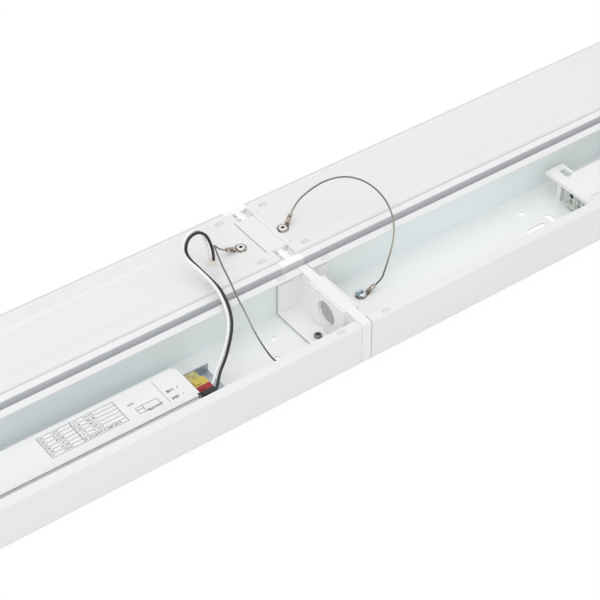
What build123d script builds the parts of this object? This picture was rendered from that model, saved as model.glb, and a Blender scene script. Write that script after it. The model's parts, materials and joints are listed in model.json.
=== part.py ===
from build123d import *
from math import cos, radians, sin, tan
import os

# Two LED battens coupled end to end, lying on their backs. The covers are off and
# lie behind the housings with their diffusers down, each tethered by a wire rope.
# X runs along the battens with the coupling at X = 0, Y points to the covers and
# Z = 0 is the surface that everything rests on. Lengths are in millimetres.

# Overall sizes
section_length = 600.0      # one batten, over its two end caps
housing_width = 78.0
housing_height = 36.0
cover_length = 598.4
cover_width = 77.0
side_gap = 8.0              # free strip between housing and cover
cover_joint_x = -0.8        # where the two covers meet
fit = 0.15                  # clearance of parts that slide into each other

# Housing, folded steel sheet
sheet = 1.0
bend = 1.8                  # outer bend radius
rim = 7.4                   # width of the inturned rims

# Housing end cap, moulded
flange = 4.0                # end plate, flush with the housing outside
boss_depth = 2.7            # raised pad around the cable entry
boss_radius = 20.4
entry_bore = 20.0
entry_height = 20.9
entry_rebate = 34.0         # recess on the mating face, round the entry
rebate_depth = 3.6
rebate_roof = 1.8           # wall left above the recess
sleeve_reach = 22.5         # how far the lining goes into the housing
sleeve_wall = 1.6
window_start = 10.0         # latch window in the side linings
window_length = 11.0
window_height = 4.5

# Floor holes, by their distance from either end of the housing
cap_screw_at = 13.5
cap_screw_size = 3.0
rope_hole_at = 39.5
rope_hole_side = 18.2       # from the centre line
rope_screw_size = 4.0
index_hole_at = 49.5
index_hole_size = 5.0
long_slot_at = 194.5
long_slot_length = 19.0
cross_slot_at = 211.8
cross_slot_length = 16.0
slot_width = 5.0
round_hole_at = 197.5
round_hole_side = 19.5
round_hole_size = 6.0
tab_at = 19.5               # lanced latch tabs in rims and rails
tab_length = 6.6
tab_width = 2.8
tab_slit = 0.5

# Driver
driver_margin = 123.5       # from the lid to the right end of the batten
driver_length = 171.5
driver_start = section_length - driver_margin - driver_length
driver_width = 34.4
driver_back = 19.4          # its back side, from the housing's middle
driver_front = driver_back - driver_width
driver_height = 19.5
driver_base_height = 7.0
driver_wall = 0.9
ledge_width = 1.2           # rest of the circuit board in the base
driver_cover_wall = 1.5
lid_notch = 2.4             # at the two output corners of the lid
input_bay = 18.0
output_bay = 27.5
board_thickness = 1.6
lug_reach = 7.5
lug_width = 9.0
lug_inset = 16.0
driver_screw_size = 3.0
terminal_length = 15.0
terminal_height = 6.4
yellow_width = 7.6
red_width = 5.2
black_width = 5.6
terminal_margin = 0.9       # from the board edge to the black terminal
wire_entry = 3.0
wire_rise = 0.6             # height of the entry, as a share of the pole

# Mains terminal and its carrier
driver_gap = 28.0           # from the carrier to the driver lid
carrier_length = 49.0
carrier_start = driver_start - driver_gap - carrier_length
carrier_top = 22.0
carrier_plate = 3.0
carrier_back = 29.5         # back edge of the lug, from the centre line
carrier_front = 30.5
carrier_waist = 16.0        # back edge of the plate past the lug
carrier_lug = 17.5
carrier_leg = 2.0
hook_hole_length = 9.5
hook_hole_width = 6.0
lug_leg_size = 4.0
carrier_screw_size = 3.0
mains_depth = 21.0
mains_poles = 3
mains_pitch = 8.8
mains_back_pole = 1.8       # back pole, from the centre line
mains_height = 15.0
mains_entry = 4.4
mains_screw_size = 4.4
mains_rib = 1.4             # ribs between the poles

# Cover: gear tray, diffuser and end caps
rim_level = 33.6            # top of the diffuser rims
tray_width = 64.4
tray_top = 36.0
tray_edge_radius = 2.4
rail = 11.0                 # flat band along each side of the tray
tray_slope = 3.5
tray_dip = 0.8              # how far the middle panel lies lower
tray_lip = 3.6              # flange caught in the diffuser
rail_end = 6.6              # end of the rails, from the end of the cover
panel_end = 10.6            # end of the middle panel
diffuser_wall = 1.8
diffuser_corner = 9.0
diffuser_rib = 1.4
cover_cap_length = 10.3
cover_cap_plate = 2.5
pocket_floor = 30.6
spigot_top = 27.8
tongue_top = 35.0
spigot_reach = 8.0
spigot_wall = 1.5
line_side = -4.8            # ring and grommet line, from the cover centre line

# Light source
led_board_clearance = 6.4   # from the board to the grommet
led_board_width = 22.0
led_pitch = 20.0
led_size = 3.0
led_height = 0.7

# Small fittings of the cover
grommet_at = 48.9           # from the right end of a cover
grommet_flange = 7.8
grommet_neck = 6.0
grommet_stand = 1.7
left_ring_at = 15.1         # from the left end of a cover
right_ring_at = 22.6        # from the right end of a cover
ring_outer = 9.0
ring_hole = 4.4
ring_thickness = 0.8
neck_start = 4.1            # clear of the screw head
barrel_start = 5.5
barrel_lift = 1.75
barrel_length = 7.5
barrel_size = 3.2
rivet_flange = 6.6
rivet_bore = 2.6
rivet_rise = 0.7

# Wire ropes and leads
rope_size = 1.3
lead_size = 2.2
lead_spacing = 4.2
lead_grip = 0.6             # how far a lead is pushed past the terminal face

led_board_margin = grommet_at + grommet_flange / 2 + led_board_clearance
led_board_length = cover_length - 2 * led_board_margin
led_count = int((led_board_length - 2 * led_size) / led_pitch) + 1
housing_y = -(side_gap + cover_width) / 2
cover_y = (side_gap + housing_width) / 2
half_housing = housing_width / 2
half_tray = tray_width / 2
floor_top = sheet
sleeve_floor_top = floor_top + fit + sleeve_wall
panel_top = tray_top - tray_dip
tray_under = panel_top - sheet
lip_top = rim_level - diffuser_wall
lip_bottom = lip_top - sheet


def block(x0, x1, y0, y1, z0, z1):
    """A box between two corners."""
    middle = ((x0 + x1) / 2, (y0 + y1) / 2, (z0 + z1) / 2)
    return Pos(*middle) * Box(x1 - x0, y1 - y0, z1 - z0)


def round_bar(diameter, x, y, z0, z1):
    """An upright cylinder between two heights."""
    return Pos(x, y, (z0 + z1) / 2) * Cylinder(diameter / 2, z1 - z0)


def along_x(profile, x0, x1):
    """A profile drawn in Y and Z, run from x0 to x1."""
    return Pos(x0, 0, 0) * extrude(Plane.YZ * profile, x1 - x0)


def both_ends(distance, length):
    """The two places that lie a distance from either end of a length."""
    return (distance, length - distance)


def mirrored_end(shape, length):
    """The same shape at the other end of a length."""
    return Pos(length, 0, 0) * mirror(shape, about=Plane.YZ)


def lanced_tab(x, y, z_top):
    """The U-shaped slit round a latch tab, cut through the sheet."""
    outer = Rectangle(tab_length, tab_width)
    tongue = Pos(tab_slit, 0) * Rectangle(tab_length, tab_width - 2 * tab_slit)
    slit = extrude(outer - tongue, 3 * sheet)
    return Pos(x, y, z_top - 2 * sheet) * slit


# Housing
def make_housing():
    """The folded channel with its rims, slots and lanced tabs."""
    middle = Pos(0, housing_height / 2)
    outer = middle * RectangleRounded(housing_width, housing_height, bend)
    inner_width = housing_width - 2 * sheet
    inner_height = housing_height - 2 * sheet
    hollow = middle * RectangleRounded(inner_width, inner_height, bend - sheet)
    mouth = Pos(0, housing_height) * Rectangle(housing_width - 2 * rim, 4 * sheet)
    body = along_x(outer - hollow - mouth, flange, section_length - flange)
    cut_depth = 4 * sheet
    for x in both_ends(long_slot_at, section_length):
        body -= Pos(x, 0, 0) * extrude(SlotOverall(long_slot_length, slot_width), cut_depth, both=True)
    for x in both_ends(cross_slot_at, section_length):
        slot = Rot(0, 0, 90) * SlotOverall(cross_slot_length, slot_width)
        body -= Pos(x, 0, 0) * extrude(slot, cut_depth, both=True)
    for x in both_ends(cap_screw_at, section_length):
        body -= round_bar(cap_screw_size + 2 * fit, x, 0, -1, cut_depth)
    body -= round_bar(index_hole_size, section_length - index_hole_at, 0, -1, cut_depth)
    for side in (-1, 1):
        for x in both_ends(rope_hole_at, section_length):
            body -= round_bar(rope_screw_size + 2 * fit, x, side * rope_hole_side, -1, cut_depth)
        for x in both_ends(round_hole_at, section_length):
            body -= round_bar(round_hole_size, x, side * round_hole_side, -1, cut_depth)
        for x in both_ends(tab_at, section_length):
            body -= lanced_tab(x, side * (half_housing - rim / 2), housing_height)
    for x, y in driver_screw_places():
        body -= round_bar(driver_screw_size + 2 * fit, x, y, -1, cut_depth)
    for x, y in carrier_screw_places():
        body -= round_bar(carrier_screw_size + 2 * fit, x, y, -1, cut_depth)
    return body


def make_end_cap():
    """The moulded end of a housing: plate, cable entry pad and lining."""
    plate_face = Pos(0, housing_height / 2) * RectangleRounded(housing_width, housing_height, bend)
    cap = along_x(plate_face, 0, flange - fit)
    pad_face = Pos(0, entry_height) * Circle(boss_radius)
    pad_head = housing_height - entry_height
    pad_face += Pos(0, entry_height + pad_head / 2) * Rectangle(2 * boss_radius, pad_head)
    inside = Pos(0, (floor_top + fit + housing_height) / 2)
    pad_face &= inside * Rectangle(housing_width, housing_height - floor_top - fit)
    pad_end = flange + boss_depth
    cap += along_x(pad_face, flange - fit, pad_end)
    lining_width = housing_width - 2 * sheet - 2 * fit
    lining_height = housing_height - 2 * sheet - 2 * fit
    middle = Pos(0, floor_top + fit + lining_height / 2)
    lining = middle * RectangleRounded(lining_width, lining_height, bend - sheet)
    room = middle * Rectangle(lining_width - 2 * sleeve_wall, lining_height - 2 * sleeve_wall)
    open_top = Pos(0, housing_height) * Rectangle(lining_width - 2 * sleeve_wall, housing_height)
    cap += along_x(lining - room - open_top, flange - fit, sleeve_reach)
    groove_x = flange + boss_depth * 0.3
    cap -= block(groove_x, groove_x + 0.5, -half_housing, half_housing, housing_height - 0.5, housing_height + 1)
    entry = Pos(0, entry_height) * Circle(entry_bore / 2)
    cap -= along_x(entry, -1, pad_end + 1)
    recess_top = housing_height - rebate_roof
    rebate = Pos(0, entry_height) * Circle(entry_rebate / 2)
    rebate &= Pos(0, recess_top / 2) * Rectangle(housing_width, recess_top)
    cap -= along_x(rebate, -1, rebate_depth)
    cap -= round_bar(cap_screw_size + 2 * fit, cap_screw_at, 0, -1, sleeve_floor_top + 1)
    window_top = housing_height - sheet - fit - 2.0
    for side in (-1, 1):
        edge = side * half_housing
        inside = side * (half_housing - sheet - sleeve_wall - 1.0)
        y0 = min(edge, inside)
        y1 = max(edge, inside)
        window_end = window_start + window_length
        cap -= block(window_start, window_end, y0, y1, window_top - window_height, window_top)
    return cap


def screw(size, head_size, head_height, x, y, seat, tip):
    """A pan-head screw with a cross recess, its head on the seat height."""
    shank = round_bar(size, x, y, tip, seat)
    head = round_bar(head_size, x, y, seat, seat + head_height)
    top_ring = head.edges().sort_by(Axis.Z)[-1]
    head = fillet(top_ring, head_height * 0.45)
    depth = head_height * 0.55
    arm = head_size * 0.5
    width = head_size * 0.14
    top = seat + head_height
    for turn in (0, 90):
        head -= Pos(x, y, top - depth / 2) * Rot(0, 0, turn) * Box(arm, width, depth)
    return shank + head


def make_end_cap_screws():
    """The two screws that hold the end caps down to the housing floor."""
    places = both_ends(cap_screw_at, section_length)
    return [screw(cap_screw_size, 5.8, 2.2, x, 0, sleeve_floor_top, 0.2) for x in places]


# Driver
def driver_screw_places():
    """Lug screws on the front side of the driver."""
    y = driver_front - lug_reach / 2
    first = driver_start + lug_inset
    last = driver_start + driver_length - lug_inset
    return [(first, y), (last, y)]


def board_end():
    """The end of the circuit board, just past the output terminal."""
    return driver_start + driver_length + terminal_length + 1.0


def make_driver_base():
    """The metal tray under the driver, open at its output end."""
    x0 = driver_start - input_bay
    x1 = driver_start + driver_length + output_bay
    z0 = floor_top
    z1 = floor_top + driver_base_height
    base = block(x0, x1, driver_front, driver_back, z0, z1)
    room_x0 = x0 + driver_wall
    room_front = driver_front + driver_wall
    room_back = driver_back - driver_wall
    base -= block(room_x0, x1 + 1, room_front, room_back, z0 + driver_wall, z1 + 1)
    ledge_top = z1 - board_thickness
    for y in (room_front, room_back - ledge_width):
        base += block(room_x0, board_end(), y, y + ledge_width, z0 + driver_wall, ledge_top)
    for x, y in driver_screw_places():
        lug_front = driver_front - lug_reach
        base += block(x - lug_width / 2, x + lug_width / 2, lug_front, driver_front, z0, z0 + driver_wall)
        base -= round_bar(driver_screw_size + 2 * fit, x, y, z0 - 1, z0 + driver_wall + 1)
    return base


def make_driver_board():
    """The circuit board, seen in the terminal bays."""
    z1 = floor_top + driver_base_height
    edge = driver_wall + fit
    x0 = driver_start - input_bay + edge
    return block(x0, board_end(), driver_front + edge, driver_back - edge, z1 - board_thickness, z1)


def make_driver_cover():
    """The white lid of the driver."""
    z0 = floor_top + driver_base_height
    z1 = floor_top + driver_height
    x1 = driver_start + driver_length
    lid = block(driver_start, x1, driver_front, driver_back, z0, z1)
    lid = fillet(lid.edges().filter_by(Axis.Z), 1.2)
    lid = fillet(lid.edges().group_by(Axis.Z)[-1], 0.5)
    wall = driver_cover_wall
    lid -= block(driver_start + wall, x1 - wall, driver_front + wall, driver_back - wall, z0 - 1, z1 - wall)
    for y0, y1 in ((driver_front - 1, driver_front + lid_notch), (driver_back - lid_notch, driver_back + 1)):
        lid -= block(x1 - lid_notch, x1 + 1, y0, y1, z1 - lid_notch, z1 + 1)
    return lid


def output_terminal_edges():
    """Y edges of the three poles, from the front of the driver to the back."""
    front = driver_front + driver_wall + terminal_margin
    return (front, front + black_width, front + black_width + red_width,
            front + black_width + red_width + yellow_width)


def make_output_terminal(y0, y1):
    """One pole of the push-wire terminal with its wire entry and release key."""
    x0 = driver_start + driver_length + fit
    x1 = x0 + terminal_length
    z0 = floor_top + driver_base_height
    z1 = z0 + terminal_height
    body = block(x0, x1, y0, y1, z0, z1)
    body = chamfer(body.edges().group_by(Axis.Z)[-1].filter_by(Axis.Y), 0.9)
    middle = (y0 + y1) / 2
    entry_z = z0 + terminal_height * wire_rise
    body -= Pos(x1, middle, entry_z) * Rot(0, 90, 0) * Cylinder(wire_entry / 2, 5.0)
    key_x = x0 + terminal_length * 0.4
    key_y = (y1 - y0) * 0.28
    body -= block(key_x - 2.6, key_x + 2.6, middle - key_y - 0.4, middle + key_y + 0.4, z1 - 1.4, z1 + 1)
    body += block(key_x - 2.2, key_x + 2.2, middle - key_y, middle + key_y, z1 - 1.4, z1 + 0.5)
    return body


def make_driver_screws():
    """The lug screws of the driver."""
    seat = floor_top + driver_wall
    return [screw(driver_screw_size, 5.6, 2.0, x, y, seat, 0.2) for x, y in driver_screw_places()]


# Mains terminal and carrier
def carrier_screw_places():
    """One foot screw at the front of the carrier."""
    return [(carrier_start + carrier_length - 7.0, -carrier_front + 6.0)]


def make_terminal_carrier():
    """The moulded bridge that carries the mains terminal under its plate."""
    x0 = carrier_start
    x1 = carrier_start + carrier_length
    under = carrier_top - carrier_plate
    plate = block(x0, x1, -carrier_front, carrier_waist, under, carrier_top)
    plate += block(x0, x0 + carrier_lug, -carrier_front, carrier_back, under, carrier_top)
    hook_x = x0 + carrier_lug / 2
    hook_y = carrier_waist - 1.6
    plate -= block(hook_x, hook_x + hook_hole_width, hook_y, hook_y + hook_hole_length, under - 1, carrier_top + 1)
    front_leg = block(x0, x1, -carrier_front, -carrier_front + carrier_leg, floor_top, under)
    back_leg = block(x0 + mains_depth + 6, x1, carrier_waist - carrier_leg, carrier_waist, floor_top, under)
    leg_y = carrier_waist - lug_leg_size / 2
    lug_leg = block(x0 + 3, x0 + 3 + lug_leg_size, leg_y, leg_y + lug_leg_size, floor_top, under)
    carrier = plate + front_leg + back_leg + lug_leg
    for x, y in carrier_screw_places():
        foot = block(x - 5, x + 5, -carrier_front, y + 5, floor_top, floor_top + carrier_leg)
        carrier += foot
        carrier -= round_bar(carrier_screw_size + 2 * fit, x, y, 0, floor_top + carrier_leg + 1)
        carrier -= round_bar(7.5, x, y, under - 1, carrier_top + 1)
    slot_x = x0 + 7.0
    carrier -= block(slot_x, slot_x + 8.0, -15.4, -13.8, carrier_top - 0.8, carrier_top + 1)
    return carrier


def mains_pole_places():
    """Y centre of each pole of the mains terminal."""
    first = mains_back_pole - (mains_poles - 1) * mains_pitch
    return [first + n * mains_pitch for n in range(mains_poles)]


def mains_box():
    """Corners of the mains terminal body, right under the carrier plate."""
    poles = mains_pole_places()
    top = carrier_top - carrier_plate
    x0 = carrier_start + 1.5
    y0 = poles[0] - mains_pitch / 2
    y1 = poles[-1] + mains_pitch / 2
    return (x0, x0 + mains_depth, y0, y1, top - mains_height, top)


def make_mains_terminal():
    """The terminal block with a wire funnel and a screw well for each pole."""
    x0, x1, y0, y1, z0, z1 = mains_box()
    body = block(x0, x1, y0, y1, z0, z1)
    face = x0 + mains_rib
    for y in mains_pole_places():
        bay = (mains_pitch - mains_rib) / 2
        body -= block(x0 - 1, face, y - bay, y + bay, z0 + mains_rib, z1 + 1)
        entry_z = z0 + mains_height * 0.3
        body -= Pos(face, y, entry_z) * Rot(0, 90, 0) * Cylinder(mains_entry / 2, 12.0)
        well_z = z0 + mains_height * 0.66
        body -= Pos(face, y, well_z) * Rot(0, 90, 0) * Cylinder(mains_screw_size / 2 + fit, 6.0)
    return body


def make_mains_screws():
    """The clamping screws in the wells of the mains terminal."""
    x0, x1, y0, y1, z0, z1 = mains_box()
    well_z = z0 + mains_height * 0.66
    length = 2.6
    face = x0 + mains_rib
    screws = []
    for y in mains_pole_places():
        bar = Cylinder(mains_screw_size / 2, length)
        bar -= Pos(0, 0, length / 2) * Box(mains_screw_size, 0.8, 1.6)
        screws.append(Pos(face + 0.3 + length / 2, y, well_z) * Rot(0, -90, 0) * bar)
    return screws


def make_carrier_screw():
    """The foot screw of the carrier."""
    x, y = carrier_screw_places()[0]
    return screw(carrier_screw_size, 5.6, 2.0, x, y, floor_top + carrier_leg, 0.2)


# Cover
def rounded_tray_profile():
    """The section of the gear tray: lips, sides, rails, slopes and panel."""
    panel = half_tray - rail - tray_slope
    lip = half_tray + tray_lip
    top = [(-lip, lip_top), (-half_tray, lip_top), (-half_tray, tray_top), (-half_tray + rail, tray_top),
           (-panel, panel_top)]
    under = [(-panel, tray_under), (-half_tray + rail, tray_top - sheet),
             (-half_tray + sheet, tray_top - sheet), (-half_tray + sheet, lip_bottom), (-lip, lip_bottom)]
    right_top = [(-y, z) for y, z in reversed(top)]
    right_under = [(-y, z) for y, z in reversed(under)]
    outline = Polyline(*top, *right_top, *right_under, *under, close=True)
    face = make_face(outline)
    outer_corners = [v for v in face.vertices() if abs(abs(v.X) - half_tray) < 0.01 and v.Y > tray_top - 0.01]
    face = fillet(outer_corners, tray_edge_radius)
    inner_y = half_tray - sheet
    inner_z = tray_top - sheet
    inner_corners = [v for v in face.vertices() if abs(abs(v.X) - inner_y) < 0.01 and abs(v.Y - inner_z) < 0.01]
    return fillet(inner_corners, max(tray_edge_radius - sheet, 0.3))


def make_gear_tray():
    """The folded sheet that closes the cover and carries the light source."""
    tray = along_x(rounded_tray_profile(), rail_end, cover_length - rail_end)
    middle = half_tray - rail
    lip = half_tray + tray_lip
    notch = block(0, panel_end, -middle, middle, 0, tray_top + 1)
    for side in (-1, 1):
        inner = side * (half_tray + 0.01)
        outer = side * (lip + 1)
        notch += block(0, panel_end, min(inner, outer), max(inner, outer), 0, rim_level)
    tray -= notch
    tray -= mirrored_end(notch, cover_length)
    for side in (-1, 1):
        for x in both_ends(tab_at, cover_length):
            tray -= lanced_tab(x, side * (half_tray - rail / 2), tray_top)
    tray -= round_bar(grommet_neck, cover_length - grommet_at, line_side, 0, tray_top + 1)
    for x in (left_ring_at, cover_length - right_ring_at):
        tray -= round_bar(ring_hole, x, line_side, 0, tray_top + 1)
    return tray


def diffuser_outline(inset):
    """The outer section of the diffuser, or that section moved inwards."""
    width = cover_width - 2 * inset
    height = rim_level - 2 * inset
    face = Pos(0, rim_level / 2) * Rectangle(width, height)
    corners = face.vertices().group_by(Axis.Y)
    face = fillet(corners[0], diffuser_corner - inset)
    top_corners = face.vertices().group_by(Axis.Y)[-1]
    return fillet(top_corners, 0.8)


def make_diffuser():
    """The opal channel, with rims over the tray lips and ribs under them."""
    section = diffuser_outline(0) - diffuser_outline(diffuser_wall)
    mouth = Pos(0, rim_level) * Rectangle(tray_width + 4 * fit, 4 * diffuser_wall)
    section -= mouth
    wall_inside = cover_width / 2 - diffuser_wall
    for side in (-1, 1):
        rib_middle = side * (wall_inside - diffuser_rib / 2 + 0.2)
        rib = Pos(rib_middle, lip_bottom - diffuser_rib / 2)
        section += rib * Rectangle(diffuser_rib + 0.4, diffuser_rib)
    return along_x(section, cover_cap_length, cover_length - cover_cap_length)


def make_cover_cap():
    """The moulded end of a cover: shell, tongue, corner pockets and spigot."""
    cap = along_x(diffuser_outline(0), 0, cover_cap_length - fit)
    tongue_half = half_tray - rail - fit
    cap += block(0, rail_end, -tongue_half, tongue_half, rim_level - 1, tongue_top)
    cap += block(rail_end, cover_cap_length - fit, -tongue_half, tongue_half, rim_level - 1, tray_top)
    inside_top = pocket_floor - 1.6
    hollow = diffuser_outline(diffuser_wall)
    hollow -= Pos(0, inside_top + rim_level / 2) * Rectangle(cover_width, rim_level)
    cap -= along_x(hollow, cover_cap_plate, cover_cap_length)
    for side in (-1, 1):
        inner = side * tongue_half
        outer = side * (half_tray + fit)
        y0 = min(inner, outer)
        y1 = max(inner, outer)
        cap -= block(cover_cap_plate, cover_cap_length, y0, y1, pocket_floor, rim_level + 1)
        plug_in = side * (half_tray - rail + 0.6)
        plug_out = side * (half_tray - sheet - 2 * fit)
        plug_top = tray_top - sheet - fit
        plug = block(rail_end + 0.3, cover_cap_length - fit, min(plug_in, plug_out),
                     max(plug_in, plug_out), pocket_floor - 0.5, plug_top)
        cap += fillet(plug.edges().filter_by(Axis.X).sort_by(Axis.Z)[-2:], 1.2)
        latch = side * (half_tray - rail * 0.55)
        cap += block(cover_cap_plate - 0.5, cover_cap_plate + 1.4, latch - 0.7, latch + 0.7,
                     pocket_floor - 0.5, rim_level)
    spigot_face = diffuser_outline(diffuser_wall + fit)
    spigot_face -= diffuser_outline(diffuser_wall + fit + spigot_wall)
    spigot_face -= Pos(0, spigot_top + rim_level / 2) * Rectangle(cover_width, rim_level)
    cap += along_x(spigot_face, cover_cap_plate, cover_cap_length + spigot_reach)
    return cap


def make_led_board():
    """The board against the inner face of the middle panel."""
    x0 = (cover_length - led_board_length) / 2
    half = led_board_width / 2
    return block(x0, x0 + led_board_length, -half, half, tray_under - board_thickness, tray_under)


def make_led_packages():
    """The row of light emitting packages on the board."""
    first = (cover_length - led_pitch * (led_count - 1)) / 2
    top = tray_under - board_thickness
    half = led_size / 2
    packages = []
    for n in range(led_count):
        x = first + n * led_pitch
        packages.append(block(x - half, x + half, -half, half, top - led_height, top))
    return packages


def make_grommet():
    """The soft ring that guides the leads through the panel."""
    x = cover_length - grommet_at
    y = line_side
    upper = round_bar(grommet_flange, x, y, panel_top, panel_top + grommet_stand)
    upper = fillet(upper.edges().sort_by(Axis.Z)[-1], 0.7)
    neck = round_bar(grommet_neck - 2 * fit, x, y, tray_under - 0.1, panel_top)
    lower = round_bar(grommet_flange - 0.4, x, y, tray_under - 1.4, tray_under)
    return upper + neck + lower


def make_rivet(x):
    """The hollow rivet that clamps a ring terminal to the panel."""
    y = line_side
    ring_top = panel_top + ring_thickness
    shank = ring_hole - 2 * fit
    rivet = round_bar(shank, x, y, tray_under, ring_top)
    head = round_bar(rivet_flange, x, y, ring_top, ring_top + rivet_rise)
    rivet += fillet(head.edges().sort_by(Axis.Z)[-1], rivet_rise * 0.6)
    rivet += round_bar(rivet_flange - 0.8, x, y, tray_under - 0.7, tray_under)
    return rivet - round_bar(rivet_bore, x, y, tray_under - 2, ring_top + 2)


# Rings, ropes and leads
def ring_terminal(elevation):
    """A ring terminal at the origin, its crimp barrel towards +X and raised."""
    ring = round_bar(ring_outer, 0, 0, 0, ring_thickness)
    tangent = ring_outer * 0.45
    tongue = make_face(Polyline((0.9, tangent), (barrel_start + 0.4, barrel_size * 0.55),
                                (barrel_start + 0.4, -barrel_size * 0.55), (0.9, -tangent), close=True))
    ring += extrude(tongue, ring_thickness)
    lift = radians(elevation)
    start = (barrel_start, 0, barrel_lift)
    barrel = Plane(origin=start, z_dir=(cos(lift), 0, sin(lift))) * Cylinder(
        barrel_size / 2, barrel_length, align=(Align.CENTER, Align.CENTER, Align.MIN))
    side = make_face(Polyline((2.9, 0), (barrel_start + 1.2, barrel_lift - barrel_size * 0.35),
                              (barrel_start + 1.2, barrel_lift + 0.3), (neck_start, ring_thickness),
                              (2.9, ring_thickness), close=True))
    neck = extrude(Plane.XZ * side, barrel_size / 2, both=True)
    return ring + neck + barrel - round_bar(ring_hole, 0, 0, -1, ring_thickness * 2)


def barrel_mouth(place, heading, elevation):
    """Where the rope leaves a ring terminal."""
    lift = radians(elevation)
    turn = radians(heading)
    reach = barrel_start + barrel_length * cos(lift)
    height = barrel_lift + barrel_length * sin(lift)
    return (place[0] + reach * cos(turn), place[1] + reach * sin(turn), place[2] + height)


def step_from(ring, distance):
    """A point straight out of the barrel mouth of a ring terminal."""
    place, heading, elevation = ring
    mouth = barrel_mouth(place, heading, elevation)
    lift = radians(elevation)
    turn = radians(heading)
    flat = distance * cos(lift)
    return (mouth[0] + flat * cos(turn), mouth[1] + flat * sin(turn), mouth[2] + distance * sin(lift))


def cord_radii(points):
    """Bend radius at each inner point: 0.45 of the shorter run over the half-turn's tangent."""
    radii = []
    vectors = [Vector(*p) for p in points]
    for a, b, c in zip(vectors, vectors[1:], vectors[2:]):
        turn = (b - a).get_angle(c - b)
        shorter = min((b - a).length, (c - b).length)
        radii.append(0.45 * shorter / tan(radians(turn / 2)))
    return radii


def make_cord(name, points, diameter):
    """A round cord along straight runs joined by tangent arcs."""
    radii = cord_radii(points)
    path = FilletPolyline(*points, radius=radii)
    start = Plane(origin=path @ 0, z_dir=path % 0)
    cord = sweep(start * Circle(diameter / 2), path=path)
    expected = path.length * 3.141593 * diameter ** 2 / 4
    smallest = min(radii) / diameter
    print(f"{name}: length {path.length:.1f}, smallest radius {smallest:.1f} diameters,",
          f"volume ratio {cord.volume / expected:.4f}")
    print("  radii", " ".join(f"{r:.1f}" for r in radii))
    print("  points", " ".join(f"({p[0]:.2f}, {p[1]:.2f}, {p[2]:.2f})" for p in points))
    return cord


# Ring terminals: place of the ring, heading in the XY plane and elevation of the barrel
base_ring_z = floor_top
tray_ring_z = panel_top
left_cover_x = cover_joint_x - cover_length
left_tray_ring = ((cover_joint_x - right_ring_at, cover_y + line_side, tray_ring_z), 177.0, 22.0)
left_base_ring = ((-rope_hole_at, housing_y - rope_hole_side, base_ring_z), 142.0, 24.0)
right_tray_ring = ((cover_joint_x + left_ring_at, cover_y + line_side, tray_ring_z), 21.0, 42.0)
right_base_ring = ((rope_hole_at, housing_y + rope_hole_side, base_ring_z), -8.0, 30.0)

left_rope_points = [
    barrel_mouth(*left_tray_ring),
    step_from(left_tray_ring, 5.0),
    (-43.7, 40.2, 45.8),
    (-46.6, 38.3, 49.8),
    (-49.4, 32.5, 52.4),
    (-53.5, 22.8, 53.8),
    (-57.4, 12.8, 54.6),
    (-61.6, 1.0, 56.5),
    (-64.2, -9.2, 55.0),
    (-64.8, -18.3, 49.5),
    (-63.1, -26.6, 41.5),
    (-62.6, -34.5, 31.5),
    (-60.5, -41.7, 20.5),
    step_from(left_base_ring, 9.5),
    barrel_mouth(*left_base_ring),
]
right_rope_points = [
    barrel_mouth(*right_tray_ring),
    step_from(right_tray_ring, 9.0),
    (43.0, 43.6, 55.0),
    (54.4, 40.1, 60.5),
    (66.6, 33.4, 63.5),
    (75.6, 22.7, 62.5),
    (81.0, 11.0, 57.8),
    (82.3, -0.9, 50.8),
    (79.3, -11.5, 42.8),
    (73.0, -18.9, 33.5),
    (65.8, -23.6, 25.0),
    (59.9, -26.0, 16.2),
    step_from(right_base_ring, 6.2),
    barrel_mouth(*right_base_ring),
]

grommet_top = panel_top + grommet_stand
grommet_place = (cover_joint_x - grommet_at, cover_y + line_side)
lead_turn = radians(-16.0)
lead_offset_x = lead_spacing / 2 * cos(lead_turn)
lead_offset_y = lead_spacing / 2 * sin(lead_turn)
black_lead_exit = (grommet_place[0] + lead_offset_x, grommet_place[1] + lead_offset_y)
white_lead_exit = (grommet_place[0] - lead_offset_x, grommet_place[1] - lead_offset_y)
terminal_face_x = -section_length + driver_start + driver_length + fit + terminal_length
wire_z = floor_top + driver_base_height + terminal_height * wire_rise
terminal_edges = output_terminal_edges()
black_wire_y = housing_y + (terminal_edges[0] + terminal_edges[1]) / 2
red_wire_y = housing_y + (terminal_edges[1] + terminal_edges[2]) / 2
black_lead_points = [
    (*black_lead_exit, grommet_top),
    (*black_lead_exit, 44.0),
    (-49.3, 38.5, 53.0),
    (-50.9, 41.4, 59.5),
    (-57.0, 41.2, 65.2),
    (-64.2, 40.2, 66.2),
    (-69.1, 39.1, 62.8),
    (-70.8, 38.3, 55.8),
    (-69.6, 34.8, 50.2),
    (-66.9, 29.3, 46.8),
    (-64.9, 21.7, 44.6),
    (-64.1, 12.0, 43.6),
    (-65.1, 2.7, 42.8),
    (-67.5, -6.3, 41.1),
    (-70.1, -15.2, 38.6),
    (-73.6, -22.7, 34.0),
    (-78.6, -28.3, 28.5),
    (-83.9, -32.4, 22.8),
    (-89.6, -36.3, 17.6),
    (-97.1, -41.8, 14.0),
    (-103.4, -48.7, 12.6),
    (terminal_face_x - lead_grip, black_wire_y, wire_z),
]
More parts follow.
